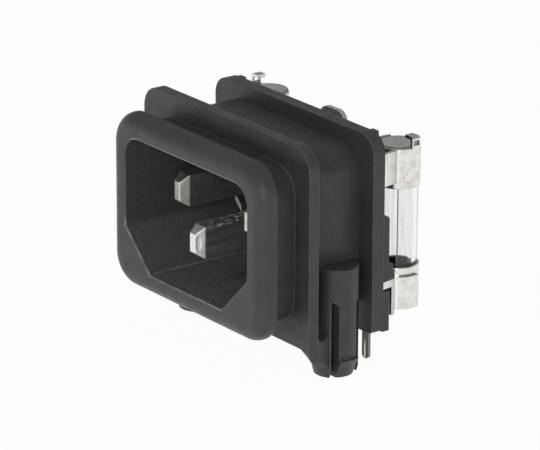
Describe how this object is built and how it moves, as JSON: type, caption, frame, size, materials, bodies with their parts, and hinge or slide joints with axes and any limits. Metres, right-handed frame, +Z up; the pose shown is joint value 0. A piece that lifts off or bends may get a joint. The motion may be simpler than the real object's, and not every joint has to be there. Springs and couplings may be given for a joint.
{
  "type": "power entry module",
  "caption": "Moulded appliance inlet with bezel, panel flange, flat contact pins, glass fuses in sprung clips at the back, solder tails and snap pegs for a circuit board.",
  "frame": {"origin": "centre of the inlet opening, in the plane of its front rim", "axes": "X to the right seen from the front, Y back into the equipment, Z up"},
  "size_m": [0.0338, 0.0246, 0.0294],
  "materials": {
    "housing_plastic": "black moulded, satin",
    "carrier_plastic": "black moulded, satin",
    "pin_metal": "brass with nickel plating",
    "terminal_metal": "brass with tin plating",
    "clip_metal": "spring sheet with nickel plating",
    "cap_metal": "brass with nickel plating",
    "solder": "dull solder",
    "fuse_wire": "thin drawn wire",
    "fuse_glass": "clear"
  },
  "bodies": {
    "root": {"inlet_housing": "housing_plastic", "rear_carrier": "carrier_plastic", "line_pin": "pin_metal", "neutral_pin": "pin_metal", "earth_pin": "pin_metal", "earth_terminal": "terminal_metal", "line_upper_clip": "clip_metal", "line_lower_clip": "clip_metal", "line_fuse_glass": "fuse_glass", "line_fuse_cap_top": "cap_metal", "line_fuse_cap_bottom": "cap_metal", "line_fuse_solder_top": "solder", "line_fuse_solder_bottom": "solder", "line_fuse_wire": "fuse_wire", "neutral_upper_clip": "clip_metal", "neutral_lower_clip": "clip_metal", "neutral_fuse_glass": "fuse_glass", "neutral_fuse_cap_top": "cap_metal", "neutral_fuse_cap_bottom": "cap_metal", "neutral_fuse_solder_top": "solder", "neutral_fuse_solder_bottom": "solder", "neutral_fuse_wire": "fuse_wire"}
  },
  "joints": []
}
